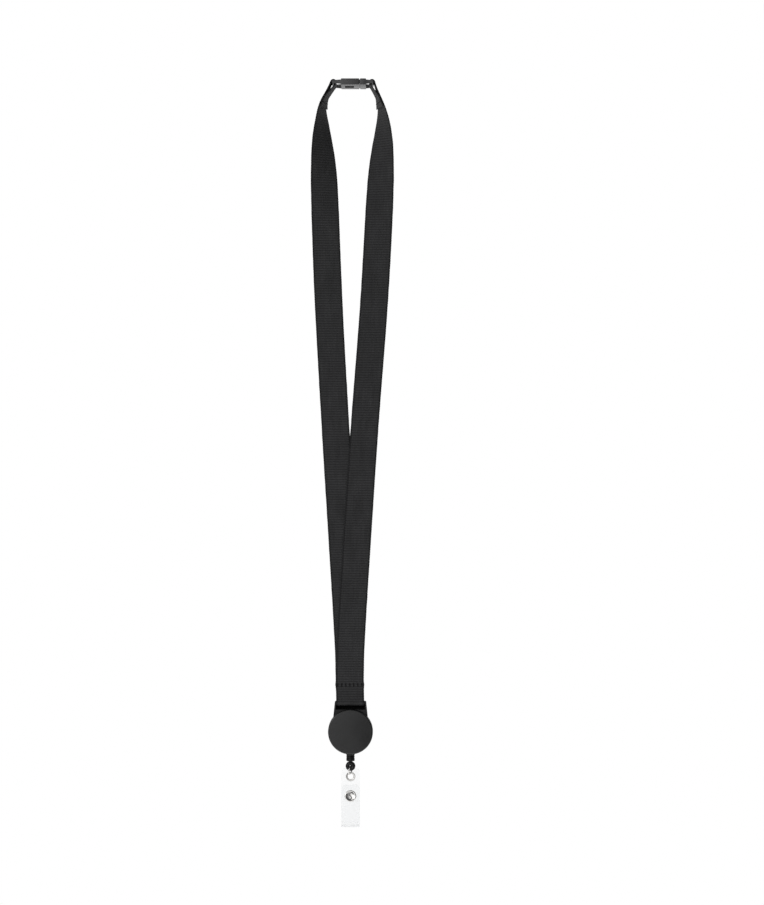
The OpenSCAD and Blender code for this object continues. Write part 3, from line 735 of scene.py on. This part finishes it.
left = ribbon("webbing_left", left_route, True, near_bars)
finished(left, "webbing_left", WEBBING, ["strap_left"], "neck_strap", 60)
right = ribbon("webbing_right", right_route, False, near_bars)
finished(right, "webbing_right", WEBBING, ["strap_right"], None, 60)
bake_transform(right)


SEAM_STITCH, END_STITCH = 2.9, 2.0
# Middles of the seam's threads, sunk a little into the outer faces of the two layers.
SEAM_THREAD_Y = LAYER_Y + STRAP_T / 2 - 0.06


def stitch(middle, along, outward, length):
    """One tight stitch that dives into the webbing at both ends."""
    points = []
    for k in range(13):
        t = k / 6 - 1
        points.append(Vector(middle) + Vector(along) * length / 2 * t - Vector(outward) * 0.42 * t**4)
    return sweep(points, THREAD_R, 10, ply=0.9)


def seam_stitches(y, outward):
    """The lower seam's row of upright stitches on one face."""
    return merged([stitch((SEAM_X + (i - STITCHES // 2) * STITCH_PITCH, y, SEAM_Z), (0, 0, 1),
                          (0, outward, 0), SEAM_STITCH) for i in range(STITCHES)])


def end_stitches(bar, leg, lean, mirror):
    """The row through the doubled end, seen on the tail's face and on the leg's face."""
    a = twist(END_STITCH_Z)
    across = Vector((math.cos(a), -math.sin(a), 0))
    inward = Vector((-math.sin(a), -math.cos(a), 0))
    tail = Vector(tail_point(bar, leg, lean, END_STITCH_Z))
    front = Vector((top_out(bar, leg, lean, END_STITCH_Z), 0, END_STITCH_Z))
    reach = STRAP_T / 2 + 0.1
    rows = []
    for i in range(STITCHES):
        slide = across * (i - STITCHES // 2) * STITCH_PITCH
        rows.append(stitch(tail + slide + inward * reach, across, inward, END_STITCH))
        rows.append(stitch(front + slide - inward * reach, across, -inward, END_STITCH))
    shape = merged(rows)
    if mirror:
        placed(shape, Matrix.Diagonal((-1, 1, 1, 1)))
        shape.data.flip_normals()
    return shape


needle = seam_stitches(-SEAM_THREAD_Y, -1)
finished(needle, "seam_thread_front", THREAD, ["needle_thread"])
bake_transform(needle)
finished(seam_stitches(SEAM_THREAD_Y, 1), "seam_thread_back", THREAD, ["bobbin_thread"], "neck_strap")
finished(end_stitches(-SOCKET_BAR_X, LEFT_LEG, LEFT_LEAN, True), "end_stitches_left", THREAD,
         ["left_end_stitching"], "neck_strap")
finished(end_stitches(PLUG_BAR_X, RIGHT_LEG, RIGHT_LEAN, False), "end_stitches_right", THREAD,
         ["right_end_stitching"], "breakaway_side")


# ---------------------------------------------------------------- breakaway buckle

SHELL_H, SHELL_W = 4.4, 24.0
SOCKET_X = (-6.65, 6.3)
PLUG_X = (6.75, 11.15)
CHANNEL_Z = (1.2, 3.2)
# The channels and the recess are cut out past the socket's mating face.
PAST_FACE = 7.2
ARM_T = 1.6
TONGUE_HALF, GUIDE_HALF, GUIDE_Y = 3.6, 1.6, 7
SLIDE_GAP = 0.4
SOCKET_GRIPS, PLUG_GRIPS = (-4.4, -3.1, -1.8), (8.3, 9.6)


def shell(x0, x1):
    """Body of one half of the buckle, with round edges."""
    return eased(block(x0, x1, -SHELL_W / 2, SHELL_W / 2, 0, SHELL_H), 0.5, 4)


def loop_frame(root, bar):
    """Two tapered arms and the round bar that the strap is sewn round."""
    sign = 1 if bar > root else -1
    end = SHELL_W / 2
    bar_shape = placed(lathe([(0, -end), (BAR_R - 0.25, -end), (BAR_R, -end + 0.25), (BAR_R, end - 0.25),
                              (BAR_R - 0.25, end), (0, end)], 40),
                       facing_front(0, BAR_Z) @ Matrix.Translation((bar, 0, 0)))
    arms = []
    for s in (-1, 1):
        outline = [(root, BAR_Z - 1.6), (bar, BAR_Z - BAR_R + 0.03)]
        outline += arc(bar, BAR_Z, BAR_R - 0.03, -90, -90 + sign * 180, 10)[1:-1]
        outline += [(bar, BAR_Z + BAR_R - 0.03), (root, BAR_Z + 1.6)]
        y0, y1 = sorted((s * end, s * (end - ARM_T)))
        arms.append(eased(prism_y(outline, y0 + 0.01, y1 - 0.01), 0.22, 2, 50))
    return [bar_shape] + arms


def grips(places):
    """Cutters for the finger grooves across the top."""
    return [eased(block(x - 0.3, x + 0.3, -9, 9, SHELL_H - 0.25, SHELL_H + 1), 0.15, 1) for x in places]


def buckle_socket():
    """Female half: a channel for the tongue, two for the guides, a window below and a recess for the lip."""
    shape = joined(shell(*SOCKET_X), *loop_frame(SOCKET_X[0] + 1, SOCKET_BAR_X))
    half = TONGUE_HALF + SLIDE_GAP
    tongue = block(-3.45, PAST_FACE, -half, half, *CHANNEL_Z)
    half = GUIDE_HALF + SLIDE_GAP
    guides = [block(0.15, PAST_FACE, s * GUIDE_Y - half, s * GUIDE_Y + half, *CHANNEL_Z) for s in (-1, 1)]
    window = eased(block(-3.9, 2.5, -4.4, 4.4, -1, 1.4), 0.4, 2)
    recess = block(5.2, PAST_FACE, -11.35, 11.35, 0.65, 3.75)
    return carved(shape, tongue, *guides, recess, window, *grips(SOCKET_GRIPS))


def buckle_plug():
    """Male half: a barbed tongue, two guide prongs and a lip that closes the view between the halves."""
    low, high = CHANNEL_Z[0] + 0.45, CHANNEL_Z[1] - 0.2
    left = PLUG_X[0]
    shape = joined(shell(*PLUG_X), *loop_frame(PLUG_X[1] - 1, PLUG_BAR_X))
    tongue = eased(block(left - 9.8, left + 1, -TONGUE_HALF, TONGUE_HALF, low, high), 0.2, 2)
    guides = [eased(block(left - 6.2, left + 1, s * GUIDE_Y - GUIDE_HALF, s * GUIDE_Y + GUIDE_HALF, low, high),
                    0.25, 2) for s in (-1, 1)]
    barb = prism_y([(left - 9.6, low + 0.2), (left - 9.6, low), (left - 8.2, CHANNEL_Z[0] + 0.15),
                    (left - 7.2, CHANNEL_Z[0] + 0.15), (left - 6.6, low), (left - 6.6, low + 0.2)], -3.3, 3.3)
    lip = block(left - 1.2, left + 0.5, -11.2, 11.2, 0.8, 3.6)
    return carved(joined(shape, tongue, *guides, barb, lip), *grips(PLUG_GRIPS))


finished(buckle_socket(), "buckle_socket_shell", BUCKLE, ["buckle_socket"], "neck_strap")
finished(buckle_plug(), "buckle_plug_shell", BUCKLE, ["buckle_plug"], "breakaway_side")


# ---------------------------------------------------------------- reel

reel_lo, reel_hi = box_mm("reel_front_cap")
REEL_Z = (reel_lo.z + reel_hi.z) / 2
REEL_R = (reel_hi.x - reel_lo.x) / 2
HALF_T = -reel_lo.y
REEL_PLACE = facing_front(0, REEL_Z)
CASE_JOINT = HALF_T - 1.6
CASE_ROOM_R = 15.2
YOKE_TOP, YOKE_LOW, SLOT_LOW, SLOT_BACK, SLOT_HALF = -438.75, -452.0, -444.6, 2.7, 10.4
NOZZLE_LOW, NOZZLE_ROOT, NOZZLE_R, NOZZLE_FILLET = -477.6, -475.3, 3.0, 1.4


def reel_cap():
    """Front disc: a faint crown, a round shoulder and a spigot inside the case."""
    crown = [(r, HALF_T - 0.55 * (r / 15) ** 2) for r in (0, 2, 4, 6, 8, 10, 11.5, 13, 14, 14.8)]
    profile = crown + arc(REEL_R - 0.9, HALF_T - 1.43, 0.9, 84, 0, 9)
    profile += [(REEL_R, CASE_JOINT + 0.14), (REEL_R - 0.12, CASE_JOINT + 0.02), (14.5, CASE_JOINT + 0.02),
                (14.5, CASE_JOINT - 0.4), (13.9, CASE_JOINT - 0.4), (13.9, CASE_JOINT + 0.02),
                (0, CASE_JOINT + 0.02)]
    return placed(lathe(profile, 160), REEL_PLACE)


def reel_cutter(r, low, high):
    """Disc on the reel's axis, for cutting room out of what meets the case."""
    return placed(lathe([(0, low), (r, low), (r, high), (0, high)], 160), REEL_PLACE)


def case_cup():
    """Back of the case with a moulded recess, a rivet boss and a round edge."""
    back = -HALF_T
    profile = [(0, back + 0.05), (1.9, back + 0.05), (2.2, back + 0.35), (10.6, back + 0.35), (10.9, back + 0.05),
               (11.2, back), (14.95, back)]
    profile += arc(REEL_R - 1, back + 1, 1, -90, 0, 8)
    profile += [(REEL_R, CASE_JOINT - 0.14), (REEL_R - 0.12, CASE_JOINT - 0.02), (14.6, CASE_JOINT - 0.02),
                (14.6, back + 1.4), (0, back + 1.4)]
    return placed(lathe(profile, 160), REEL_PLACE)


def yoke():
    """Loop that the strap runs round, with a web behind its slot."""
    outline = [(-10.7, YOKE_TOP), (10.7, YOKE_TOP), (11.2, YOKE_TOP - 0.5), (12.5, YOKE_LOW), (-12.5, YOKE_LOW),
               (-11.2, YOKE_TOP - 0.5)]
    slot = block(-SLOT_HALF, SLOT_HALF, -3, SLOT_BACK, SLOT_LOW, -430)
    shape = eased(carved(prism_y(outline, -1.3, HALF_T - 0.3), slot), 0.24, 3, 30)
    return carved(shape, reel_cutter(CASE_ROOM_R, -8, 8))


def nozzle():
    """Spout that the cord leaves by, flared where it meets the case."""
    root = NOZZLE_R + NOZZLE_FILLET
    profile = [(0, NOZZLE_ROOT + 1.5), (root, NOZZLE_ROOT + 1.5)]
    profile += arc(root, NOZZLE_ROOT - NOZZLE_FILLET, NOZZLE_FILLET, 90, 180, 7)
    profile += [(NOZZLE_R, NOZZLE_LOW + 0.5)] + arc(2.6, NOZZLE_LOW + 0.4, 0.4, 0, -90, 4) + [(0, NOZZLE_LOW)]
    return carved(lathe(profile, 72), reel_cutter(CASE_ROOM_R, -8, 8), reel_cutter(16.3, CASE_JOINT - 0.02, 9))


def reel_case():
    """Case with its yoke, its bar, its nozzle and the cord's hole."""
    bar = lathe([(0, -10.9), (YOKE_BAR_R, -10.9), (YOKE_BAR_R, 10.9), (0, 10.9)], 32)
    placed(bar, Matrix.Translation((0, 0, YOKE_BAR_Z)) @ Matrix.Rotation(math.radians(90), 4, "Y"))
    hole = placed(lathe([(0, -1), (0.85, -1), (0.85, 8), (0, 8)], 32), Matrix.Translation((0, 0, NOZZLE_LOW)))
    mouth = placed(lathe([(0, -1), (1.35, -1), (1.35, 0), (0.8, 0.55), (0, 0.55)], 32),
                   Matrix.Translation((0, 0, NOZZLE_LOW)))
    return carved(joined(case_cup(), yoke(), nozzle(), bar), hole, mouth)


case = finished(reel_case(), "reel_case", REEL_CASE, ["reel_back_case"], "reel")
# The black band above the reel is painted shade: the front of the web behind the slot gets a near-black matt
# material standing in for the shadow in the slot.
case.data.materials.append(SLOT_PAINTED_SHADE)
for face in case.data.polygons:
    x, y, z = face.center / MM
    if face.normal.y < -0.9 and abs(y - SLOT_BACK) < 0.05 and abs(x) < SLOT_HALF + 0.1 and z > SLOT_LOW - 1:
        face.material_index = 1
finished(reel_cap(), "reel_cap", REEL, ["reel_front_cap"], "reel")

# The parts inside the reel, the cord's knot and the snap's spring keep their CAD shapes.
for node, material in (("centre_post", STEEL), ("spiral_spring", SPRING), ("spool_drum", DRUM),
                       ("cord_winding", CORD), ("cord_knot", CORD), ("snap_spring", SPRING)):
    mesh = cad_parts[node].data
    mesh.materials.clear()
    mesh.materials.append(material)


# ---------------------------------------------------------------- cord and its end

CORD_R = 0.4
# The wound cord's radius, and how far below the drum's middle the cord meets the nozzle's axis.
WOUND_R, THROAT_DROP = 11.1, 14.8


def pull_cord():
    """Cord from the drum, through the nozzle, to the knot in the stop."""
    lean = math.acos(WOUND_R / THROAT_DROP)
    leave = Vector((WOUND_R * math.sin(lean), 0, REEL_Z - WOUND_R * math.cos(lean)))
    knots = [leave, Vector((0.55, 0, -474.65)), Vector((0.12, 0, -475.15)), Vector((0, 0, -475.8)),
             Vector((0, 0, -478.6))]
    return sweep(evenly(knots, 0.2, 0.25), CORD_R, 14)


cord = finished(pull_cord(), "pull_cord", CORD, ["cord_line"], None, 60)
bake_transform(cord)

stop_lo, stop_hi = box_mm("cord_stop")


def cord_stop():
    """Hollow barrel that holds the cord's knot above and the swivel's head below."""
    low, high, r = stop_lo.z, stop_hi.z, stop_hi.x
    groove = high - 1.15
    outside = arc(r - 0.6, low + 0.6, 0.6, -90, 0, 5) + [(r, groove - 0.3), (r - 0.22, groove - 0.12),
                                                         (r - 0.22, groove + 0.12), (r, groove + 0.3)]
    outside += arc(r - 0.45, high - 0.45, 0.45, 0, 90, 4)
    inside = [(0.75, high), (0.55, high - 0.2), (0.55, high - 0.8), (1.9, high - 0.8), (1.9, low + 0.8),
              (0.95, low + 0.8), (0.95, low + 0.15), (1.1, low)]
    return lathe(outside + inside, 72, ring=True)


finished(cord_stop(), "cord_stop_barrel", FITTING, ["cord_stop"], "cord_end")

ring_lo, ring_hi = box_mm("end_ring")
RING_WIRE = -ring_lo.y
RING_MID = ring_hi.x - RING_WIRE
RING_Z = ring_lo.z + RING_MID + RING_WIRE


def swivel_eye():
    """Moulded eye with a turned stem that flares into it."""
    eye = placed(lathe([(RING_MID + x, z) for x, z in arc(0, 0, RING_WIRE, 0, 345, 23)], 72, ring=True),
                 facing_front(0, RING_Z))
    head = ring_hi.z
    stem = lathe([(0, RING_Z + 1.8), (1.3, RING_Z + 1.9), (1.15, RING_Z + 2.7), (0.9, RING_Z + 3.3),
                  (0.87, head - 0.55), (1.4, head - 0.55), (1.5, head - 0.45), (1.5, head - 0.1), (1.4, head),
                  (0, head)], 40)
    return joined(eye, stem)


finished(swivel_eye(), "swivel_eye", FITTING, ["end_ring"], "swivel_ring")

LINK_TILT, LINK_TURN, LINK_R, LINK_WIRE = math.radians(28), math.radians(-22), 3.1, 0.45
LINK_SLACK = 0.14
# Degrees where the wire's two ends meet, and to each side of it that the joint leaves open.
LINK_JOINT, LINK_GAP, LINK_STEPS = 8, 1.6, 96


def link_ring():
    """Round wire ring with a fine butt joint at its back."""
    drop = LINK_R - RING_WIRE - LINK_WIRE - LINK_SLACK
    centre = Vector((0, drop * math.sin(LINK_TILT), RING_Z - RING_MID - drop * math.cos(LINK_TILT)))
    turn = Matrix.Translation(centre) @ Matrix.Rotation(LINK_TILT, 4, "X") @ Matrix.Rotation(LINK_TURN, 4, "Z")
    points = []
    for k in range(LINK_STEPS + 1):
        a = math.radians(LINK_JOINT + LINK_GAP + (360 - 2 * LINK_GAP) * k / LINK_STEPS)
        points.append(turn @ Vector((0, LINK_R * math.cos(a), LINK_R * math.sin(a))))
    radius = [LINK_WIRE] * (LINK_STEPS + 1)
    radius[0] = radius[-1] = LINK_WIRE - 0.06
    return sweep(points, radius, 20)


finished(link_ring(), "wire_link", NICKEL, ["link_ring"], "link", 60)


# ---------------------------------------------------------------- clear strap

strap_lo, strap_hi = box_mm("vinyl_strap")
VINYL_W, VINYL_T = strap_hi.x - strap_lo.x, strap_hi.y - strap_lo.y
VINYL_Y, FOLD_Z = (strap_lo.y + strap_hi.y) / 2, strap_lo.z
FOLD_MID = FOLD_Z - box_mm("vinyl_fold")[0].z - VINYL_T / 2
FOLD_Y = VINYL_Y - FOLD_MID
FLAP_LEAN, FLAP_LEN, SNAP_UP = math.radians(9.2), 26.8, 18.8
FLAP_PLACE = (Matrix.Translation((0, FOLD_Y, FOLD_Z)) @ Matrix.Rotation(-FLAP_LEAN, 4, "X")
              @ Matrix.Translation((0, -FOLD_MID, 0)))
SNAP_Z = FOLD_Z + FOLD_MID * math.sin(FLAP_LEAN) + SNAP_UP * math.cos(FLAP_LEAN)
EDGE, CORNER = 0.14, 2.5
EYELET_HOLE, RIVET_HOLE = 2.33, 1.23
FOLD_STEPS = 36


def soft_edges(shape, end_z):
    """Rounds every sharp edge but those of the end that meets the fold."""
    bm = bmesh.new()
    bm.from_mesh(shape.data)
    chosen = [e for e in bm.edges if len(e.link_faces) == 2 and e.calc_face_angle(0) > math.radians(40)
              and not all(abs(v.co.z - end_z) < 1e-3 for v in e.verts)]
    bmesh.ops.bevel(bm, geom=chosen, offset=EDGE, segments=2, profile=0.5, affect="EDGES", clamp_overlap=True)
    bm.to_mesh(shape.data)
    bm.free()
    return shape


def vinyl_sheet(z0, z1, y, holes):
    """Flat tongue with two round corners and punched holes."""
    w = VINYL_W / 2
    outline = [(-w, z0), (w, z0)] + arc(w - CORNER, z1 - CORNER, CORNER, 0, 90, 10)
    outline += arc(-w + CORNER, z1 - CORNER, CORNER, 90, 180, 10)
    shape = prism_y(outline, y - VINYL_T / 2, y + VINYL_T / 2)
    punches = [placed(lathe([(0, -2), (r, -2), (r, 2), (0, 2)], 48), facing_front(y, z)) for z, r in holes]
    return soft_edges(carved(shape, *punches), z0)


def vinyl_fold():
    """Half turn that joins the strap to its flap."""
    w, t = VINYL_W / 2, VINYL_T / 2
    section = arc(w - EDGE, t - EDGE, EDGE, 0, 90, 2) + arc(-w + EDGE, t - EDGE, EDGE, 90, 180, 2)
    section += arc(-w + EDGE, -t + EDGE, EDGE, 180, 270, 2) + arc(w - EDGE, -t + EDGE, EDGE, 270, 360, 2)
    n = len(section)
    end = math.pi - FLAP_LEAN
    verts, faces = [], []
    for k in range(FOLD_STEPS + 1):
        a = end * k / FOLD_STEPS
        for x, h in section:
            verts.append((x, FOLD_Y + (FOLD_MID + h) * math.cos(a), FOLD_Z - (FOLD_MID + h) * math.sin(a)))
    for k in range(FOLD_STEPS):
        faces += [(k * n + i, k * n + (i + 1) % n, (k + 1) * n + (i + 1) % n, (k + 1) * n + i) for i in range(n)]
    faces += [tuple(range(n)), tuple(FOLD_STEPS * n + i for i in range(n))]
    return new_shape("fold", verts, faces)


eyelet_lo, eyelet_hi = box_mm("eyelet")
EYELET_Z = (eyelet_lo.z + eyelet_hi.z) / 2
finished(vinyl_sheet(FOLD_Z, strap_hi.z, VINYL_Y, [(EYELET_Z, EYELET_HOLE), (SNAP_Z, RIVET_HOLE)]),
         "clear_strap", VINYL, ["vinyl_strap"], "snap_strap")
finished(placed(vinyl_sheet(0, FLAP_LEN, 0, [(SNAP_UP, RIVET_HOLE)]), FLAP_PLACE), "clear_flap", VINYL,
         ["vinyl_flap"], "snap_flap")
fold = finished(vinyl_fold(), "clear_fold", VINYL, ["vinyl_fold"])
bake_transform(fold)


def eyelet():
    """Rolled nickel eyelet with a round lip on both faces."""
    out, tube, half = eyelet_hi.x, 2.0, VINYL_T / 2
    top = half + 0.3
    lip = [(tube, -top + 0.2), (tube, top - 0.2)] + arc(tube + 0.25, top - 0.2, 0.2, 140, 90, 3)
    lip += [(out - 0.35, top - 0.05)] + arc(out - 0.15, half + 0.15, 0.15, 80, -90, 6) + [(tube + 0.3, half)]
    lip += [(tube + 0.3, -half)] + arc(out - 0.15, -half - 0.15, 0.15, 90, -80, 6) + [(out - 0.35, -top + 0.05)]
    lip += arc(tube + 0.25, -top + 0.2, 0.2, 270, 220, 3)
    return placed(lathe(lip, 64, ring=True), facing_front(VINYL_Y, EYELET_Z))


finished(eyelet(), "eyelet_ring", NICKEL, ["eyelet"], "snap_strap")

cap_lo, cap_hi = box_mm("snap_cap")
CAP_R = cap_hi.x


def snap_cap():
    """Pressed cap: a rolled rim round a shallow dish."""
    base = VINYL_T / 2
    profile = [(0, base + 0.4), (CAP_R - 1.7, base + 0.4), (CAP_R - 1.35, base + 0.55)]
    profile += arc(CAP_R - 0.75, base + 0.55, 0.6, 170, -20, 14)
    profile += [(CAP_R - 0.25, base), (1.2, base), (1.2, -base), (0, -base)]
    return placed(lathe(profile, 96), FLAP_PLACE @ facing_front(0, SNAP_UP))


def snap_wire():
    """S-shaped spring wire that lies in the cap's dish."""
    r, level = 1.28, VINYL_T / 2 + 0.52
    upper, lower = arc(0, r, r, 20, 270, 18), arc(0, -r, r, 90, -160, 18)
    turn = Matrix.Rotation(math.radians(-28), 2)
    points = [turn @ Vector(p) for p in upper + lower[1:]]
    shape = sweep([(p.x, -level, p.y + SNAP_UP) for p in points], 0.33, 12)
    return placed(shape, FLAP_PLACE)


def snap_socket():
    """Ring with a turned-in lip on the flap's back."""
    base, high, hole, out = VINYL_T / 2, VINYL_T / 2 + 0.6, 1.6, 3.2
    profile = [(0, base), (out - 0.1, base), (out, base + 0.1)] + arc(out - 0.3, high - 0.3, 0.3, 0, 90, 4)
    profile += [(hole + 0.25, high), (hole, high - 0.2), (hole, base + 0.1), (0, base + 0.1)]
    return placed(lathe(profile, 64), FLAP_PLACE @ facing_front(0, SNAP_UP) @ TURNED_BACK)


def snap_stud():
    """Round nub with a waist that the socket clips on to."""
    base = VINYL_T / 2
    profile = [(0, base), (3.1, base), (3.2, base + 0.1), (3.1, base + 0.33), (1.35, base + 0.35),
               (1.05, base + 0.6), (1.2, base + 0.95), (1.1, base + 1.15), (0.85, base + 1.25), (0, base + 1.25)]
    return placed(lathe(profile, 64), facing_front(VINYL_Y, SNAP_Z))


def snap_back():
    """Flat rivet head with a round edge behind the strap."""
    out, base = box_mm("snap_back")[1].x, VINYL_T / 2
    profile = [(0, base + 0.45), (1.6, base + 0.45), (2.0, base + 0.6)]
    profile += arc(out - 0.3, base + 0.3, 0.3, 90, -70, 6)
    profile += [(out - 0.4, base), (1.2, base), (1.2, -base + 0.02), (0, -base + 0.02)]
    return placed(lathe(profile, 96), facing_front(VINYL_Y, SNAP_Z) @ TURNED_BACK)


finished(snap_cap(), "snap_cap_rim", NICKEL, ["snap_cap"], "snap_flap")
finished(snap_wire(), "snap_wire", SPRING, (), "snap_flap", 60)
finished(snap_socket(), "snap_socket_ring", NICKEL, ["snap_socket"], "snap_flap")
finished(snap_stud(), "snap_stud_nub", NICKEL, ["snap_stud"], "snap_strap")
finished(snap_back(), "snap_back_head", NICKEL, ["snap_back"], "snap_strap")


# ---------------------------------------------------------------- floor

FLOOR_Z, FLOOR_R = -1.25, 2.2
floor = lathe([(0, 0), (FLOOR_R, 0), (FLOOR_R, -0.02), (0, -0.02)], 96)
floor.name = "floor"
placed(floor, Matrix.Translation((0, 0, FLOOR_Z)))
floor.data.materials.append(floor_material())
